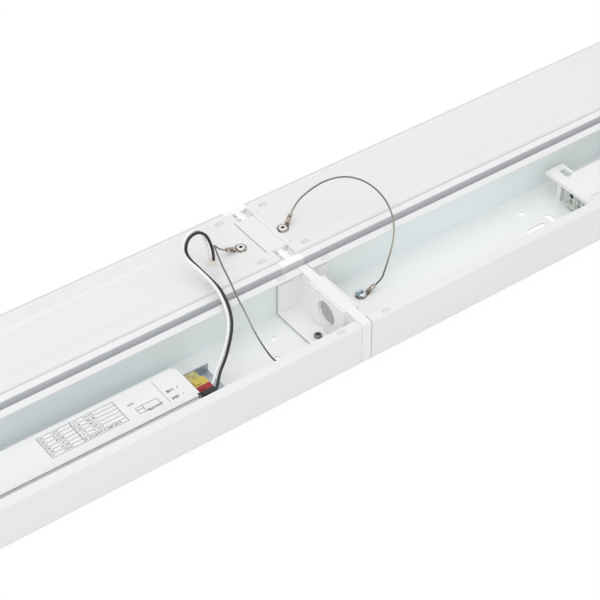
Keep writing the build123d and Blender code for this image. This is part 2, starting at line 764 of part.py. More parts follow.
white_lead_points = [
    (*white_lead_exit, grommet_top),
    (*white_lead_exit, 45.0),
    (-52.0, 40.4, 52.0),
    (-51.6, 43.8, 58.5),
    (-56.8, 43.7, 66.0),
    (-64.8, 42.3, 67.3),
    (-70.5, 41.0, 63.3),
    (-73.2, 39.2, 55.6),
    (-71.9, 33.8, 50.5),
    (-69.0, 28.3, 47.5),
    (-67.1, 21.2, 45.4),
    (-66.5, 12.0, 44.3),
    (-67.5, 3.2, 42.7),
    (-69.8, -5.6, 40.7),
    (-72.4, -14.3, 38.4),
    (-75.6, -21.3, 33.9),
    (-80.4, -26.7, 28.7),
    (-85.6, -30.7, 23.2),
    (-91.4, -34.4, 18.2),
    (-99.5, -39.5, 14.8),
    (-104.5, -44.2, 12.9),
    (terminal_face_x - lead_grip, red_wire_y, wire_z),
]


def save(shape, name):
    """Write one node; a list becomes a group of separate solids."""
    if isinstance(shape, list):
        shape = Compound(children=shape)
    export_step(shape, f"parts/{name}.step")


def place_all(shape, location):
    """Move a solid, or each solid of a group."""
    if isinstance(shape, list):
        return [location * s for s in shape]
    return location * shape


def main():
    os.makedirs("parts", exist_ok=True)
    end_cap = make_end_cap()
    far_end_cap = mirrored_end(end_cap, section_length)
    cover_cap = make_cover_cap()
    far_cover_cap = mirrored_end(cover_cap, cover_length)
    edges = output_terminal_edges()
    base_parts = {
        "housing": make_housing(),
        "end_cap_screws": make_end_cap_screws(),
        "driver_base": make_driver_base(),
        "driver_board": make_driver_board(),
        "driver_cover": make_driver_cover(),
        "driver_screws": make_driver_screws(),
        "output_terminal_black": make_output_terminal(edges[0], edges[1]),
        "output_terminal_red": make_output_terminal(edges[1], edges[2]),
        "output_terminal_yellow": make_output_terminal(edges[2], edges[3]),
        "terminal_carrier": make_terminal_carrier(),
        "mains_terminal": make_mains_terminal(),
        "mains_terminal_screws": make_mains_screws(),
        "carrier_screw": make_carrier_screw(),
    }
    cover_parts = {
        "gear_tray": make_gear_tray(),
        "diffuser": make_diffuser(),
        "led_board": make_led_board(),
        "led_packages": make_led_packages(),
        "lead_grommet": make_grommet(),
    }
    sides = {
        "left": (-section_length, left_cover_x, ("outer", "joint"), cover_length - right_ring_at),
        "right": (0.0, cover_joint_x, ("joint", "outer"), left_ring_at),
    }
    for side, (section_x, cover_x, ends, rivet_at) in sides.items():
        base = Pos(section_x, housing_y, 0)
        cover = Pos(cover_x, cover_y, 0)
        for name, shape in base_parts.items():
            save(place_all(shape, base), f"{side}_{name}")
        for name, shape in cover_parts.items():
            save(place_all(shape, cover), f"{side}_{name}")
        save(base * end_cap, f"{side}_{ends[0]}_end_cap")
        save(base * far_end_cap, f"{side}_{ends[1]}_end_cap")
        save(cover * cover_cap, f"{side}_{ends[0]}_cover_cap")
        save(cover * far_cover_cap, f"{side}_{ends[1]}_cover_cap")
        save(cover * make_rivet(rivet_at), f"{side}_rope_rivet")

    rings = {
        "left_tray_ring": left_tray_ring,
        "left_base_ring": left_base_ring,
        "right_tray_ring": right_tray_ring,
        "right_base_ring": right_base_ring,
    }
    for name, (place, heading, elevation) in rings.items():
        save(Pos(*place) * Rot(0, 0, heading) * ring_terminal(elevation), name)
    for side, ring in (("left", left_base_ring), ("right", right_base_ring)):
        x, y, z = ring[0]
        save(screw(rope_screw_size, 7.8, 2.6, x, y, z + ring_thickness, 0.2), f"{side}_rope_screw")

    save(make_cord("left_safety_rope", left_rope_points, rope_size), "left_safety_rope")
    save(make_cord("right_safety_rope", right_rope_points, rope_size), "right_safety_rope")
    save(make_cord("left_black_lead", black_lead_points, lead_size), "left_black_lead")
    save(make_cord("left_white_lead", white_lead_points, lead_size), "left_white_lead")


main()
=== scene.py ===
import json
from math import pi, radians, sin, tau

import bpy
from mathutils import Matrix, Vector


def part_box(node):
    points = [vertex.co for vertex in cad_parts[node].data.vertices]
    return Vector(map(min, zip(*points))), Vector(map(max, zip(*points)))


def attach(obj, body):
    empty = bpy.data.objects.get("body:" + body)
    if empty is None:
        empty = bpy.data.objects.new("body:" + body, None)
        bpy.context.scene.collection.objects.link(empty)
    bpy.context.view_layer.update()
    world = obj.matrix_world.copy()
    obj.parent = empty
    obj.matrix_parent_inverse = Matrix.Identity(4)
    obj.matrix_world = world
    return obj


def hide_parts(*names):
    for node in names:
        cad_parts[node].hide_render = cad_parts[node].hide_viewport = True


# Two LED battens coupled end to end, lying open on their backs, with their covers
# behind them. Lengths in this file are metres unless a name ends in mm.

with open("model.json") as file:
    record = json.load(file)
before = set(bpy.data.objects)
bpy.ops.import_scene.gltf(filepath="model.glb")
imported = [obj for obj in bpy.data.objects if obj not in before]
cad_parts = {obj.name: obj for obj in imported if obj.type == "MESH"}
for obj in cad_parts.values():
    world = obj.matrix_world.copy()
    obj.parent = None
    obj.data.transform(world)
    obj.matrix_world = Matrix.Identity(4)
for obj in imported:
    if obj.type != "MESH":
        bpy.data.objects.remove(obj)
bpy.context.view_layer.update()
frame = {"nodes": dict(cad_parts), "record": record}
nodes = frame["nodes"]

# Measures of the left batten, which ends at x = 0
housing_low, housing_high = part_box("left_housing")
diffuser_low, diffuser_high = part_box("left_diffuser")
lid_low, lid_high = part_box("left_driver_cover")
SECTION = -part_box("left_outer_end_cap")[0][0]
LINING_END = -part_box("left_joint_end_cap")[0][0]
HOUSING_END = -housing_high[0]
HOUSING_FRONT = housing_low[1]
HOUSING_BACK = housing_high[1]
HOUSING_TOP = housing_high[2]
HOUSING_MIDDLE = (HOUSING_FRONT + HOUSING_BACK) / 2
DIFFUSER_BACK = diffuser_high[1]
DIFFUSER_TOP = diffuser_high[2]
COVER_MIDDLE = (diffuser_low[1] + DIFFUSER_BACK) / 2


class Value:
    """A number that changes over a surface or along a curve, for use in arithmetic."""

    def __init__(self, owner, socket):
        self.owner = owner
        self.socket = socket

    def _math(self, operation, *others):
        values = dict(enumerate((self,) + others))
        return self.owner.value("ShaderNodeMath", {"operation": operation}, values)

    def _swapped(self, operation, other):
        return self.owner.value("ShaderNodeMath", {"operation": operation}, {0: other, 1: self})

    def __add__(self, other):
        return self._math("ADD", other)

    def __sub__(self, other):
        return self._math("SUBTRACT", other)

    def __mul__(self, other):
        return self._math("MULTIPLY", other)

    def __truediv__(self, other):
        return self._math("DIVIDE", other)

    def __mod__(self, other):
        return self._math("FLOORED_MODULO", other)

    def __pow__(self, other):
        return self._math("POWER", other)

    def __lt__(self, other):
        return self._math("LESS_THAN", other)

    def __gt__(self, other):
        return self._math("GREATER_THAN", other)

    def __or__(self, other):
        return self._math("MAXIMUM", other)

    def __abs__(self):
        return self._math("ABSOLUTE")

    def __rsub__(self, other):
        return self._swapped("SUBTRACT", other)

    __radd__ = __add__
    __rmul__ = __mul__


class Tree:
    """A tree of nodes, filled by one method."""

    def __init__(self, tree):
        self.tree = tree

    def node(self, kind, settings=None, inputs=None):
        """One node, with its settings first and then its inputs."""
        made = self.tree.nodes.new(kind)
        for key, setting in (settings or {}).items():
            setattr(made, key, setting)
        for key, given in (inputs or {}).items():
            self.put(made.inputs[key], given)
        return made

    def put(self, socket, given):
        """A value, or a link from a socket, on an input."""
        if isinstance(given, Value):
            given = given.socket
        if isinstance(given, bpy.types.NodeSocket):
            self.tree.links.new(given, socket)
        else:
            socket.default_value = given

    def value(self, kind, settings=None, inputs=None, output=0):
        """A node's output, for use in arithmetic."""
        return Value(self, self.node(kind, settings, inputs).outputs[output])

    def mixed(self, share, first, second):
        """The first shader, with a share of the second."""
        inputs = {0: share, 1: first.outputs[0], 2: second.outputs[0]}
        return self.node("ShaderNodeMixShader", {}, inputs)


class Finish(Tree):
    """A procedural material on Object coordinates, painted in layers."""

    def __init__(self, name, colour, roughness, metallic=0.0, **fixed):
        self.material = bpy.data.materials.new(name)
        self.material.use_nodes = True
        self.material.diffuse_color = (*colour, 1.0)
        super().__init__(self.material.node_tree)
        self.tree.nodes.clear()
        self.coordinates = self.node("ShaderNodeTexCoord").outputs["Object"]
        self.base = (*colour, 1.0)
        inputs = {"Base Color": self.base, "Roughness": roughness, "Metallic": metallic}
        inputs.update({key.replace("_", " "): given for key, given in fixed.items()})
        self.shader = self.node("ShaderNodeBsdfPrincipled", {}, inputs)
        self.node("ShaderNodeOutputMaterial", {}, {"Surface": self.shader.outputs[0]})

    def axes(self):
        """The three Object coordinates."""
        split = self.node("ShaderNodeSeparateXYZ", {}, {0: self.coordinates})
        return [Value(self, socket) for socket in split.outputs]

    def stretched(self, scale):
        """Object coordinates, stretched along the axes."""
        inputs = {"Vector": self.coordinates, "Scale": scale}
        return self.node("ShaderNodeMapping", {}, inputs).outputs[0]

    def noise(self, scale, detail=2.0, stretch=None):
        place = self.stretched(stretch) if stretch else self.coordinates
        inputs = {"Vector": place, "Scale": scale, "Detail": detail, "Roughness": 0.5}
        return self.value("ShaderNodeTexNoise", {}, inputs, "Fac")

    def set(self, **inputs):
        """Values or links for the shader's own inputs."""
        for key, given in inputs.items():
            self.put(self.shader.inputs[key.replace("_", " ")], given)

    def paint(self, mask, colour):
        """Lay a colour over what is there, as thick as the mask says."""
        layers = {0: mask, 6: self.base, 7: (*colour, 1.0)}
        self.base = self.node("ShaderNodeMix", {"data_type": "RGBA"}, layers).outputs[2]
        self.set(Base_Color=self.base)

    def relief(self, height, depth):
        """A bump of the given real depth."""
        inputs = {"Height": height, "Distance": depth, "Strength": 1.0}
        self.set(Normal=self.node("ShaderNodeBump", {}, inputs).outputs[0])


def band(value, low, high):
    """1 between two limits and 0 outside them."""
    return (value > low) * (value < high)


def rise(value, low, high):
    """0 below the first limit, 1 above the second and even between them."""
    inputs = {"Value": value, 1: low, 2: high}
    return value.owner.value("ShaderNodeMapRange", {"clamp": True}, inputs)


def any_of(masks):
    """The strongest of the masks at each point."""
    joined = masks[0]
    for mask in masks[1:]:
        joined = joined | mask
    return joined


def shade(colour, share):
    """A share of a colour's strength."""
    return tuple(share * c for c in colour)


def add(name, data):
    """A new object in the scene."""
    made = bpy.data.objects.new(name, data)
    bpy.context.scene.collection.objects.link(made)
    return made


# Camera and light
def aim_camera():
    azimuth = radians(-36.42)
    elevation = radians(41.54)
    lens = bpy.data.cameras.new("camera")
    lens.sensor_width = 36.0
    lens.lens = 118.68
    lens.clip_end = 50.0
    camera = add("camera", lens)
    camera.location = (-0.6427, -0.87368, 0.96098)
    camera.rotation_euler = (pi / 2 - elevation, 0.0, azimuth)
    bpy.context.scene.camera = camera


def soft_lamp(name, place, size, watts):
    """A broad lamp, aimed at the middle of the object."""
    light = bpy.data.lights.new(name, "AREA")
    light.shape = "RECTANGLE"
    light.size, light.size_y = size
    light.energy = watts
    lamp = add(name, light)
    lamp.location = place
    lamp.rotation_euler = (-Vector(place)).to_track_quat("-Z", "Y").to_euler()


def seen_directly(tree):
    """1 for rays that show the background: camera, mirror and glass rays."""
    path = tree.node("ShaderNodeLightPath")
    rays = ("Is Camera Ray", "Is Glossy Ray", "Is Transmission Ray")
    return any_of([Value(tree, path.outputs[ray]) for ray in rays])


def light_world(strength):
    """Even light from all round, with a white background for the camera."""
    world = bpy.data.worlds.new("surroundings")
    world.use_nodes = True
    bpy.context.scene.world = world
    tree = Tree(world.node_tree)
    tree.tree.nodes.clear()
    white = (1.0, 1.0, 1.0, 1.0)
    lit = tree.node("ShaderNodeBackground", {}, {"Color": white, "Strength": strength})
    seen = tree.node("ShaderNodeBackground", {}, {"Color": white, "Strength": 1.0})
    choice = tree.mixed(seen_directly(tree), lit, seen)
    tree.node("ShaderNodeOutputWorld", {}, {"Surface": choice.outputs[0]})


def lay_floor(shade_share, glow_strength):
    """A white floor: pale to the camera, with a share of its real shading."""
    mesh = bpy.data.meshes.new("floor")
    reach = 12.0
    level = -0.0002
    sides = ((-reach, -reach), (reach, -reach), (reach, reach), (-reach, reach))
    mesh.from_pydata([(x, y, level) for x, y in sides], [], [(0, 1, 2, 3)])
    floor = add("floor", mesh)
    paper = bpy.data.materials.new("floor_white")
    paper.use_nodes = True
    tree = Tree(paper.node_tree)
    tree.tree.nodes.clear()
    lit = tree.node("ShaderNodeBsdfDiffuse", {}, {"Color": (0.88, 0.88, 0.88, 1.0)})
    glow = tree.node("ShaderNodeEmission", {}, {"Strength": glow_strength})
    choice = tree.mixed(seen_directly(tree) * (1.0 - shade_share), lit, glow)
    tree.node("ShaderNodeOutputMaterial", {}, {"Surface": choice.outputs[0]})
    mesh.materials.append(paper)


bpy.context.scene.view_settings.view_transform = "Standard"
aim_camera()
light_world(strength=0.72)
lay_floor(shade_share=0.09, glow_strength=1.015)
soft_lamp("overhead", (-0.2, 0.3, 2.6), size=(3.0, 2.4), watts=20.0)
soft_lamp("front_left", (-1.9, -2.1, 1.7), size=(1.6, 1.2), watts=17.0)


# Finishes
def powder_coat(name, colour, roughness, grain_depth):
    """Paint on sheet steel, with its grain and slow clouds."""
    finish = Finish(name, colour, roughness, IOR=1.5)
    grain = finish.noise(1300.0, detail=3.0)
    cloud = finish.noise(9.0)
    finish.paint(cloud * 0.6, shade(colour, 0.965))
    finish.set(Roughness=roughness + (grain - 0.5) * 0.10 + (cloud - 0.5) * 0.06)
    finish.relief(grain, grain_depth)
    return finish


def housing_paint():
    """Powder coat, with painted light inside the channel, a painted tint of the light on the inner
    back wall, painted shade on the rims' tops and painted shadow in the joint lines, stronger on the
    right batten.
    """
    finish = powder_coat("housing_paint", (0.865, 0.87, 0.88), 0.42, 0.00002)
    x, y, z = finish.axes()
    outer_face = 0.0007
    inner_face = 0.0015
    floor_face = 0.0008
    rim_sheet = 0.0012
    rim_face = 0.0004
    between_walls = band(y, HOUSING_FRONT + outer_face, HOUSING_BACK - outer_face)
    inside = between_walls * band(z, floor_face, HOUSING_TOP - rim_sheet)
    # Painted light: the inside of the channel is painted paler than the outside of the same sheet.
    finish.paint(inside, (0.95, 0.955, 0.965))
    # Painted light: the inner back wall is painted a cooler tint, standing for how it is lit.
    finish.paint(inside * (y > HOUSING_BACK - inner_face), (0.885, 0.955, 0.95))
    # Painted shade: the rims' top faces are painted darker.
    finish.paint(z > HOUSING_TOP - rim_face, (0.83, 0.835, 0.845))
    # Painted shadow: a dark band at the housings' ends stands for the shadow in the joint, stronger on
    # the right batten.
    joint_shadow_band = abs(x) < HOUSING_END + 0.0005
    right_batten = rise(x, -0.001, 0.001)
    finish.paint(joint_shadow_band * (0.2 + right_batten * 0.55), (0.24, 0.25, 0.27))
    return finish


def tray_paint():
    """Glossy white sheet with painted shade in a faint fold line along each side of its panel."""
    finish = powder_coat("tray_paint", (0.84, 0.84, 0.85), 0.24, 0.00001)
    y = finish.axes()[1]
    fold_side = 0.0230
    fold_width = 0.0003
    # Painted shade: a faint grey line stands for the shade of a fold along each side.
    fold = band(abs(y - COVER_MIDDLE), fold_side, fold_side + fold_width)
    finish.paint(fold * 0.35, (0.60, 0.60, 0.62))
    return finish


def even_moulding(name, colour, roughness):
    """Moulded plastic of one even colour, with a fine spark-eroded skin."""
    finish = Finish(name, colour, roughness)
    skin = finish.noise(2200.0)
    finish.set(Roughness=roughness + (skin - 0.5) * 0.12)
    finish.relief(skin, 0.000012)
    return finish


def moulding(name, colour, roughness, cloud_share=0.96):
    """Moulded plastic with faint clouds, drawn out along the batten."""
    finish = even_moulding(name, colour, roughness)
    cloud = finish.noise(60.0, detail=3.0, stretch=(0.25, 1.0, 1.0))
    finish.paint(cloud * 0.7, shade(colour, cloud_share))
    return finish


def end_cap_plastic():
    """Warm white moulding with ejector marks on top, painted light inside the channel, painted shade
    at the lining's edge and a painted shadow at the foot of the joint.
    """
    finish = moulding("end_cap_plastic", (0.895, 0.895, 0.885), 0.38, cloud_share=0.972)
    x, y, z = finish.axes()
    lining_face = 0.0009
    rim_sheet = 0.0012
    line = 0.0001
    # Painted light: between the walls and below the rims the moulding is painted paler.
    between_walls = band(y, HOUSING_FRONT + lining_face, HOUSING_BACK - lining_face)
    finish.paint(between_walls * (z < HOUSING_TOP - rim_sheet), (0.955, 0.955, 0.945))
    # Painted shade: a dark line at the lining's end stands for the shade in the gap there.
    lining_edge = abs(abs(x) - LINING_END) < line
    finish.paint(lining_edge * 0.6, (0.26, 0.29, 0.30))

    ejectors = ((0.0051, -0.0672, 0.0006), (-0.0022, -0.0243, 0.0005), (-0.0022, -0.0601, 0.0005))
    marks = any_of([
        (x - mark_x) ** 2 + (y - mark_y) ** 2 < radius ** 2 for mark_x, mark_y, radius in ejectors
    ])
    on_top = z > HOUSING_TOP - 0.0005
    # Painted shadow: a dark spot at the bottom of the joint, by the front, stands for the shadow in
    # the notch there.
    foot = (abs(x) < 0.0007) * (z < 0.0010) * (y < HOUSING_FRONT + 0.0015)
    finish.paint(marks * on_top * 0.35 | foot * 0.8, (0.12, 0.12, 0.13))
    return finish


def cover_cap_plastic():
    """White moulding, with painted light in the pockets at its corners."""
    finish = even_moulding("cover_cap_white", (0.85, 0.85, 0.86), 0.30)
    z = finish.axes()[2]
    # Painted light: everything below the diffuser's top is painted paler, to lift the shade in the
    # pockets.
    finish.paint(z < DIFFUSER_TOP + 0.0002, (0.96, 0.96, 0.965))
    return finish


def opal_plastic():
    """Unlit diffuser: white rims, with painted cool shade down its sides and painted shade on its grey
    far edge.
    """
    finish = even_moulding("opal_plastic", (0.86, 0.865, 0.87), 0.34)
    y, z = finish.axes()[1:]
    # Painted shade: the sides below the rims are painted darker and cooler, standing for the shade in
    # the groove by the housing.
    finish.paint(z < DIFFUSER_TOP - 0.0003, (0.785, 0.80, 0.825))
    # Painted shade: the thin far edge is painted grey.
    finish.paint((y > DIFFUSER_BACK - 0.0027) * 0.8, (0.70, 0.70, 0.715))
    return finish


def plated(name, colour, roughness, brush=None, dark_share=0.72):
    """Plated or bare metal with fine marks and darker clouds."""
    finish = Finish(name, colour, roughness, metallic=1.0)
    marks = finish.noise(1500.0, detail=4.0, stretch=brush)
    cloud = finish.noise(160.0, detail=3.0)
    finish.paint(cloud, shade(colour, dark_share))
    finish.set(Roughness=roughness + (marks - 0.5) * 0.30)
    finish.relief(marks, 0.000015)
    return finish


def terminal_screws():
    """Bright heads, with painted shade on those in the pole nearest the back wall."""
    finish = plated("terminal_screws", (0.66, 0.67, 0.66), 0.30)
    y = finish.axes()[1]
    # Painted shade: the heads in the pole nearest the back wall are painted dark.
    finish.paint(y > HOUSING_MIDDLE - 0.0025, (0.10, 0.10, 0.11))
    return finish


def blue_zinc():
    """Bright blue-passivated screw head, with painted dark reflections in blotches."""
    finish = plated("zinc_screw", (0.90, 0.96, 1.0), 0.16, dark_share=0.7)
    # Painted reflection: dark blue blotches stand for the room mirrored in the head.
    blotch = finish.noise(420.0, detail=1.0) > 0.54
    finish.paint(blotch * 0.75, (0.10, 0.22, 0.28))
    return finish


def ring_metal():
    """Tinned rings, with painted shade and reflection in a dark crescent next to the rivet, and dark
    streaks on the barrel.
    """
    brushed = (0.2, 1.0, 1.0)
    finish = plated("ring_metal", (0.66, 0.58, 0.51), 0.28, brushed, dark_share=0.45)
    x, y = finish.axes()[:2]
    reach = 0.0040
    front = -0.0012
    # Painted shade and reflection: a dark crescent on the far side of each rivet.
    painted_crescents = []
    for node in ("left_rope_rivet", "right_rope_rivet"):
        low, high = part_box(node)
        centre_x, centre_y = ((low + high) / 2)[:2]
        near = (x - centre_x) ** 2 + (y - centre_y) ** 2 < reach ** 2
        painted_crescents.append(near * (y - centre_y > front))
    streak = finish.noise(500.0, stretch=(1.0, 1.0, 0.3)) > 0.53
    finish.paint(any_of(painted_crescents) | streak * 0.65, (0.045, 0.038, 0.034))
    return finish


class DriverPrint:
    """Masks for print on the driver's lid, and for painted shade at its edges.

    Places run along the batten from its left end, and across it from the housing's middle.
    """

    RULE = 0.00046

    def __init__(self, finish):
        x, y, self.height = finish.axes()
        self.along = (x + SECTION) % SECTION
        self.across = y - HOUSING_MIDDLE
        on_lid = (1.0, 1.0, 0.02)
        self.letters = finish.noise(1500.0, detail=1.0, stretch=on_lid) > 0.490
        self.bold_letters = finish.noise(1250.0, detail=1.0, stretch=on_lid) > 0.455

    def block(self, start, end, low, high):
        """A filled rectangle, from start to end along and from low to high across."""
        return band(self.along, start, end) * band(self.across, low, high)

    def line_along(self, place, start, end, width=RULE):
        return self.block(start, end, place - width / 2, place + width / 2)

    def line_across(self, place, low, high, width=RULE):
        return self.block(place - width / 2, place + width / 2, low, high)

    def table(self):
        """Six ruled rows of marks in two columns."""
        start, split, end = 0.3635, 0.3889, 0.4230
        low, high = -0.0068, 0.0148
        rows = 6
        row = (high - low) / rows
        word_low, word_high = 0.0012, 0.0025
        words = ((0.3645, 0.3678), (0.3735, 0.3800), (0.3900, 0.3945), (0.3990, 0.4065))
        columns = any_of([band(self.along, *word) for word in words])
        filled = band((self.across - low) % row, word_low, word_high) * columns
        last_row = self.block(0.3900, 0.4180, low + 0.0010, low + 0.0027)
        marks = [filled * band(self.across, low, high) * self.letters, last_row * self.letters]
        for place, width in ((start, 0.0005), (split, 0.0006), (end, 0.0005)):
            marks.append(self.line_across(place, low, high, width))
        for n in range(rows + 1):
            marks.append(self.line_along(low + n * row, start, end) * 0.9)
        return any_of(marks)

    def field(self):
        """A ruled field with a split cell at its left, and two captions."""
        start, split, end = 0.4323, 0.4375, 0.4495
        low, middle, high = -0.0062, -0.0026, 0.0
        marks = [self.line_across(place, low, high) for place in (start, split, end)]
        marks += [self.line_along(place, start, end) for place in (low, high)]
        marks.append(self.line_along(middle, start, split))
        marks.append(self.block(0.4385, 0.4505, -0.0075, -0.0050) * self.letters)
        marks.append(self.block(0.4295, 0.4345, 0.0042, 0.0062) * self.letters)
        return any_of(marks)

    def output_marks(self):
        """A rule at the output end, with a plus and a minus beside their words."""
        plus, minus = 0.0008, -0.0068
        half_height = 0.0013
        start = 0.4578
        sign_start, sign_end = 0.4660, 0.4674
        stroke = 0.0005
        marks = [self.line_across(0.4552, -0.0094, 0.0150, 0.00034)]
        for place, end in ((plus, 0.4636), (minus, 0.4638)):
            word = self.block(start, end, place - half_height, place + half_height)
            marks.append(word * self.bold_letters)
            marks.append(self.line_along(place, sign_start, sign_end, stroke))
        middle = (sign_start + sign_end) / 2
        half_sign = (sign_end - sign_start) / 2
        marks.append(self.line_across(middle, plus - half_sign, plus + half_sign, stroke))
        return any_of(marks)

    def lid_edge_shade(self):
        """Painted shadow in the notches at the lid's output corners, and painted shade along the top
        of its front side.
        """
        front = lid_low[1] - HOUSING_MIDDLE
        back = lid_high[1] - HOUSING_MIDDLE
        end = SECTION + lid_high[0]
        top = lid_high[2] - 0.0003
        notch = 0.0026
        at_corner = (self.across > back - notch) | (self.across < front + notch)
        at_end = band(self.along, end - 0.0027, end + 0.0003)
        corners = at_end * at_corner * band(self.height, top - notch, top)
        front_line = (self.across < front + 0.0002) * band(self.height, top - 0.0012, top)
        return corners | front_line * 0.55

    def marks(self):
        """All print on the lid's top, and the painted shade at the lid's edges."""
        on_top = self.height > lid_high[2] - 0.0002
        print_marks = any_of([self.table(), self.field(), self.output_marks()])
        return print_marks * on_top | self.lid_edge_shade()


def printed_driver():
    """White lid with a generic data panel: frames, rules and bars, and painted shade at its edges."""
    white = (0.87, 0.87, 0.885)
    ink = (0.06, 0.065, 0.08)
    finish = Finish("driver_white", white, 0.28, Coat_Weight=0.15, Coat_Roughness=0.2)
    marks = DriverPrint(finish).marks()
    skin = finish.noise(1600.0)
    # The ink also paints the shade at the lid's edges.
    finish.paint(marks * 0.9, ink)
    finish.set(Roughness=0.26 + (skin - 0.5) * 0.08 + marks * 0.2)
    finish.relief(skin, 0.000008)
    return finish


def circuit_board():
    """Olive laminate with pads and tracks."""
    finish = Finish("circuit_board", (0.44, 0.39, 0.14), 0.38)
    tracks = finish.noise(260.0, detail=0.0, stretch=(1.0, 0.15, 1.0))
    cells = {"Vector": finish.coordinates, "Scale": 240.0}
    pads = finish.value("ShaderNodeTexVoronoi", {}, cells, "Distance")
    finish.paint(tracks > 0.5, (0.56, 0.50, 0.22))
    finish.paint(pads < 0.16, (0.66, 0.66, 0.60))
    finish.set(Roughness=0.35 + (tracks - 0.5) * 0.2)
    return finish


def light_package():
    """Yellow phosphor under clear resin."""
    finish = Finish("led_package", (0.90, 0.76, 0.28), 0.25, Coat_Weight=0.6)
    finish.paint(finish.noise(900.0), (0.82, 0.64, 0.18))
    return finish


def rope_steel():
    """Stranded wire, with painted light where it runs down into the housing and painted shade near its
    foot.
    """
    finish = plated("rope_steel", (0.30, 0.27, 0.24), 0.38, dark_share=0.6)
    z = finish.axes()[2]
    pale = 1.0 - rise(z, HOUSING_TOP + 0.002, HOUSING_TOP + 0.016)
    dark = 1.0 - rise(z, HOUSING_TOP - 0.024, HOUSING_TOP - 0.004)
    # Painted light: the rope is painted paler from a little above the housing's top downwards.
    finish.paint(pale * 0.75, (0.52, 0.51, 0.43))
    # Painted shade: low in the housing, near its foot, the rope is painted dark.
    finish.paint(dark * 0.9, (0.13, 0.125, 0.115))
    return finish


def lead_skin(name, colour):
    """Soft insulation, a little uneven over the strands inside."""
    finish = Finish(name, colour, 0.32, IOR=1.48)
    ripple = finish.noise(700.0)
    lighter = tuple(min(1.0, c * 1.06 + 0.010) for c in colour)
    finish.paint(ripple, lighter)
    finish.set(Roughness=0.28 + ripple * 0.12)
    finish.relief(ripple, 0.00003)
    return finish


finishes = {
    "housing_paint": housing_paint(),
    "tray_paint": tray_paint(),
    "cap_plastic": end_cap_plastic(),
    "opal_plastic": opal_plastic(),
    "driver_plastic": printed_driver(),
    "driver_metal": plated("driver_metal", (0.55, 0.60, 0.64), 0.40, brush=(0.1, 1.0, 1.0)),
    "circuit_board": circuit_board(),
    "terminal_yellow": moulding("terminal_yellow", (0.62, 0.49, 0.09), 0.30),
    "terminal_red": moulding("terminal_red", (0.36, 0.012, 0.015), 0.30),
    "terminal_black": moulding("terminal_black", (0.010, 0.010, 0.011), 0.30),
    "carrier_plastic": moulding("carrier_plastic", (0.90, 0.90, 0.895), 0.36),
    "mains_terminal_plastic": moulding("mains_terminal_plastic", (0.70, 0.75, 0.70), 0.40),
    "dark_screw": plated("dark_screw", (0.30, 0.30, 0.31), 0.24, dark_share=0.35),
    "zinc_screw": blue_zinc(),
    "led_board_white": moulding("led_board_white", (0.86, 0.87, 0.87), 0.30),
    "led_package": light_package(),
    "grommet_rubber": moulding("grommet_rubber", (0.84, 0.79, 0.70), 0.50),
    "rivet_metal": plated("rivet_metal", (0.88, 0.88, 0.87), 0.14),
    "ring_metal": ring_metal(),
    "rope_steel": rope_steel(),
    "lead_black": lead_skin("lead_black", (0.010, 0.010, 0.011)),
    "lead_white": lead_skin("lead_white", (0.90, 0.90, 0.895)),
}
screw_heads = terminal_screws()
cover_cap_white = cover_cap_plastic()


def dress(piece, finish):
    """Give a piece one finish all over."""
    if piece.material_slots:
        for slot in piece.material_slots:
            slot.material = finish.material
    else:
        piece.data.materials.append(finish.material)


for part in frame["record"]["subparts"]:
    name = part["node"]
    finish = finishes[part["material_slot"]]
    if name.endswith("cover_cap"):
        finish = cover_cap_white
    if name.endswith("mains_terminal_screws"):
        finish = screw_heads
    dress(nodes[name], finish)


# Routes of the ropes and leads
LEFT_ROPE_MM = [
    (-35.84, 38.85, 39.76), (-40.47, 39.09, 41.63), (-43.70, 40.20, 45.80), (-46.60, 38.30, 49.80),
    (-49.40, 32.50, 52.40), (-53.50, 22.80, 53.80), (-57.40, 12.80, 54.60), (-61.60, 1.00, 56.50),
    (-64.20, -9.20, 55.00), (-65.60, -17.90, 49.60), (-64.60, -26.80, 40.50), (-64.10, -34.50, 31.00),
    (-61.30, -41.80, 19.30), (-58.00, -49.20, 9.90), (-54.90, -50.40, 7.20), (-49.23, -53.10, 5.80),
]
RIGHT_ROPE_MM = [
    (24.64, 42.17, 41.97), (30.88, 44.57, 47.99), (43.00, 43.60, 55.00), (54.40, 40.10, 60.50),
    (66.60, 33.40, 63.50), (75.60, 22.70, 62.50), (81.00, 11.00, 57.80), (82.30, -0.90, 50.80),
    (79.30, -11.50, 42.80), (73.00, -18.90, 33.50), (65.80, -23.60, 25.00), (59.90, -26.00, 16.20),
    (56.70, -26.72, 9.60), (51.38, -25.97, 6.50),
]
BLACK_LEAD_MM = [
    (-47.68, 37.62, 36.90), (-47.68, 37.62, 44.00), (-49.30, 38.50, 53.00), (-50.90, 41.40, 59.50),
    (-57.00, 41.20, 65.20), (-64.20, 40.20, 66.20), (-69.10, 39.10, 62.80), (-70.80, 38.30, 55.80),
    (-69.60, 34.80, 50.20), (-67.32, 29.32, 46.54), (-65.83, 21.75, 44.02), (-65.12, 12.05, 42.96),
    (-65.52, 2.72, 42.54), (-67.50, -6.30, 41.10), (-70.10, -15.20, 38.60), (-73.60, -22.70, 34.00),
    (-78.60, -28.30, 28.50), (-83.90, -32.40, 22.80), (-89.60, -36.30, 17.60), (-97.66, -41.38, 14.00),
    (-104.04, -48.23, 12.60), (-108.95, -52.90, 11.84),
]
